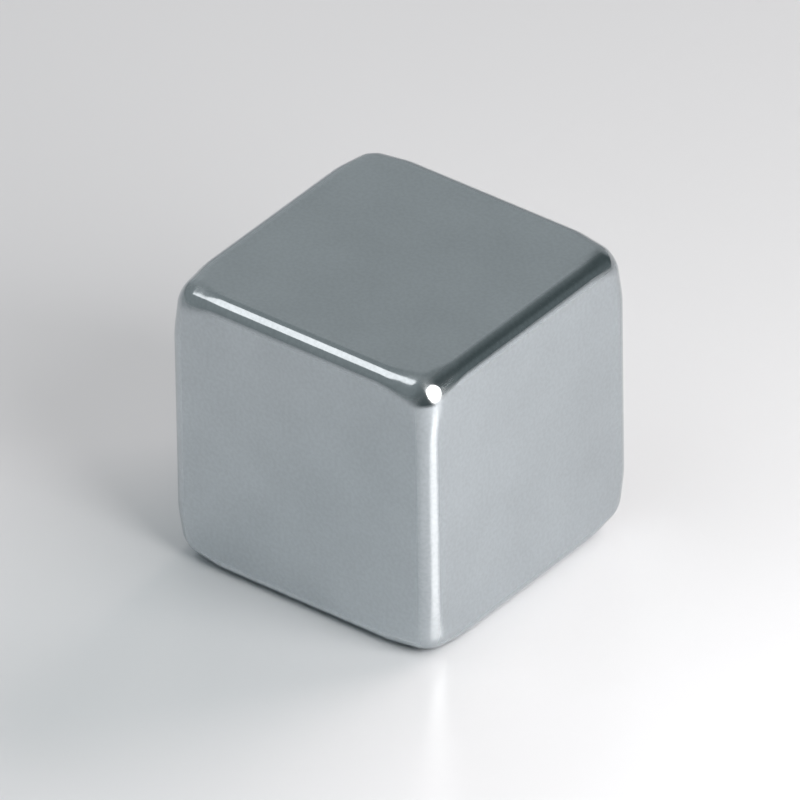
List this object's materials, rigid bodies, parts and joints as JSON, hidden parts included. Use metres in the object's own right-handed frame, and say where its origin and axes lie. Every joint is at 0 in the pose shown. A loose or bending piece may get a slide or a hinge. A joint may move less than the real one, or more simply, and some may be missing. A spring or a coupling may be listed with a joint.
{
  "type": "block magnet",
  "caption": "Cube-shaped block magnet with tumbled edges and corners and a bright nickel finish, for holding, latching or sensing.",
  "frame": {"origin": "centre of the lower pole face, on which the magnet rests", "axes": "+Z from the lower pole face to the upper one, X and Y square to the side faces"},
  "size_m": [0.01, 0.01, 0.01],
  "materials": {
    "nickel_plating": "bright nickel plating, satin on the ground faces and polished on the tumbled edges"
  },
  "bodies": {
    "root": {"magnet_block": "nickel_plating"}
  },
  "joints": []
}
